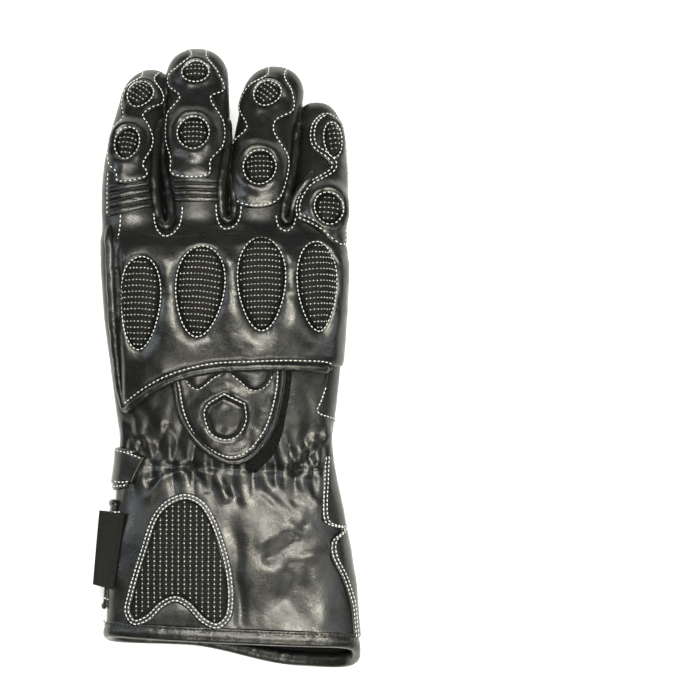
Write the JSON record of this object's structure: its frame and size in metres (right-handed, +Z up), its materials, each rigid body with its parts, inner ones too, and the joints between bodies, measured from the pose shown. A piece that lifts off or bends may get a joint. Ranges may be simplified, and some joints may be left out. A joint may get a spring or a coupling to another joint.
{
  "type": "motorcycle glove",
  "caption": "Long-cuffed leather motorcycle glove for the right hand, with a padded knuckle guard, dotted grip inserts, a wrist strap and a cuff flap, lying palm down.",
  "frame": {"origin": "on the surface that the glove lies on, below the middle of its bounding box", "axes": "+Y to the fingertips, +X to the little finger, +Z up through the back of the hand"},
  "size_m": [0.1338, 0.2902, 0.053],
  "materials": {
    "leather": "smooth black cowhide, semi-gloss",
    "binding": "thin black leather binding",
    "grip_fabric": "black fabric with light grey dots",
    "suede": "black suede, napped",
    "loop_fabric": "black hook and loop pile",
    "tag_fabric": "black woven tag"
  },
  "bodies": {
    "root": {"hand_shell": "leather", "thumb_stall": "leather", "cuff_shell": "leather", "knuckle_guard": "leather", "wrist_tongue": "leather", "tongue_pad": "leather", "side_panel": "leather", "heel_pad": "leather", "pinky_side_strip": "leather", "thumb_pad": "leather", "wrist_strap": "leather", "closure_flap": "leather", "cuff_hem": "leather", "finger_index_stall": "leather", "finger_middle_stall": "leather", "finger_ring_stall": "leather", "finger_pinky_stall": "leather", "finger_pad_index": "leather", "finger_pad_middle": "leather", "finger_pad_ring": "leather", "finger_pad_pinky": "leather", "stretch_panel_index": "leather", "stretch_panel_middle": "leather", "guard_binding": "binding", "tongue_binding": "binding", "closure_flap_binding": "binding", "finger_insert_index_tip": "grip_fabric", "finger_insert_index_mid": "grip_fabric", "finger_insert_middle_tip": "grip_fabric", "finger_insert_middle_mid": "grip_fabric", "finger_insert_ring_tip": "grip_fabric", "finger_insert_ring_mid": "grip_fabric", "finger_insert_pinky_tip": "grip_fabric", "finger_insert_pinky_base": "grip_fabric", "thumb_insert_tip": "grip_fabric", "thumb_insert_base": "grip_fabric", "knuckle_insert_index": "grip_fabric", "knuckle_insert_middle": "grip_fabric", "knuckle_insert_ring": "grip_fabric", "knuckle_insert_pinky": "grip_fabric", "cuff_grip_panel": "grip_fabric", "cuff_palm_panel": "grip_fabric", "palm_patch_index": "suede", "thumb_web_patch": "suede", "loop_patch": "loop_fabric", "palm_loop_band": "loop_fabric", "label": "tag_fabric"}
  },
  "joints": []
}
